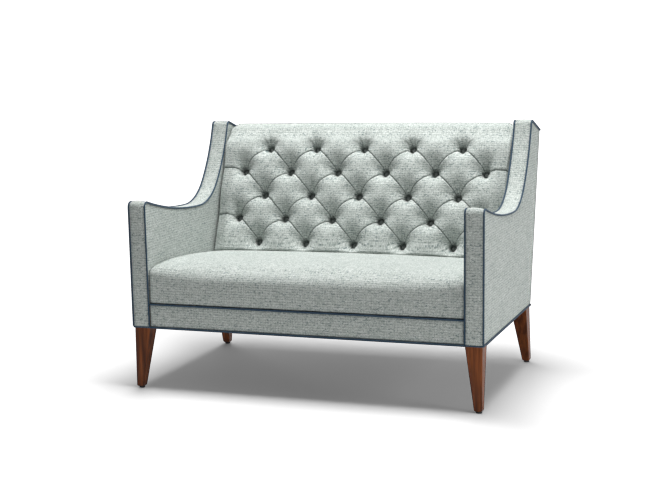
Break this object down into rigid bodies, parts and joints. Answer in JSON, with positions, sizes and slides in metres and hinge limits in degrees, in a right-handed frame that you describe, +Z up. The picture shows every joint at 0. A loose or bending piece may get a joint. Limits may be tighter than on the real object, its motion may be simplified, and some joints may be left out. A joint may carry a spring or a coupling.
{
  "type": "high back settee",
  "caption": "High back settee with a fixed sprung bench seat, a deep-buttoned back and scooped arms that sweep up into wings, on tapered wooden legs.",
  "frame": {"origin": "centre of the settee's footprint box on the floor", "axes": "+X towards the right of a person who looks at the settee's front, +Y from the front to the back, +Z up"},
  "size_m": [1.27, 0.902, 0.905],
  "materials": {
    "cover_fabric": "pale duck-egg grey-green woven cover with a fine slubbed weave",
    "piping_fabric": "steel-blue woven piping",
    "leg_wood": "walnut-brown polish, satin, straight grain",
    "frame_timber": "planed beech, unfinished",
    "dowel_wood": "fluted beech dowel, unfinished",
    "spring_steel": "dark drawn spring wire and pressed clips",
    "felt": "grey needled felt",
    "foam": "open-cell seat foam",
    "webbing": "woven jute webbing",
    "hessian": "coarse plain-weave hessian",
    "dust_cloth": "black bonded dust cloth",
    "bolt_steel": "zinc-plated steel",
    "insert_brass": "turned brass",
    "glide_plastic": "black moulded glide"
  },
  "bodies": {
    "root": {"left_front_post": "frame_timber", "right_front_post": "frame_timber", "left_back_post": "frame_timber", "right_back_post": "frame_timber", "left_arm_board": "frame_timber", "right_arm_board": "frame_timber", "left_side_rail": "frame_timber", "right_side_rail": "frame_timber", "front_seat_rail": "frame_timber", "rear_seat_rail": "frame_timber", "lower_back_rail": "frame_timber", "top_back_rail": "frame_timber", "centre_back_stile": "frame_timber", "corner_blocks": "frame_timber", "frame_dowels": "dowel_wood", "seat_springs": "spring_steel", "spring_clips": "spring_steel", "seat_platform": "felt", "seat_foam": "foam", "seat_cover": "cover_fabric", "front_border": "cover_fabric", "seat_piping": "piping_fabric", "back_upright_webbing": "webbing", "back_level_webbing": "webbing", "back_hessian": "hessian", "button_ties": "felt", "inside_back": "cover_fabric", "back_buttons": "cover_fabric", "outside_back": "cover_fabric", "left_inside_arm": "cover_fabric", "right_inside_arm": "cover_fabric", "left_outside_arm": "cover_fabric", "right_outside_arm": "cover_fabric", "left_arm_band": "cover_fabric", "right_arm_band": "cover_fabric", "left_outer_piping": "piping_fabric", "right_outer_piping": "piping_fabric", "left_inner_piping": "piping_fabric", "right_inner_piping": "piping_fabric", "base_piping": "piping_fabric", "dust_cover": "dust_cloth", "front_left_leg": "leg_wood", "front_right_leg": "leg_wood", "rear_left_leg": "leg_wood", "rear_right_leg": "leg_wood", "leg_bolts": "bolt_steel", "leg_inserts": "insert_brass", "leg_glides": "glide_plastic"}
  },
  "joints": []
}
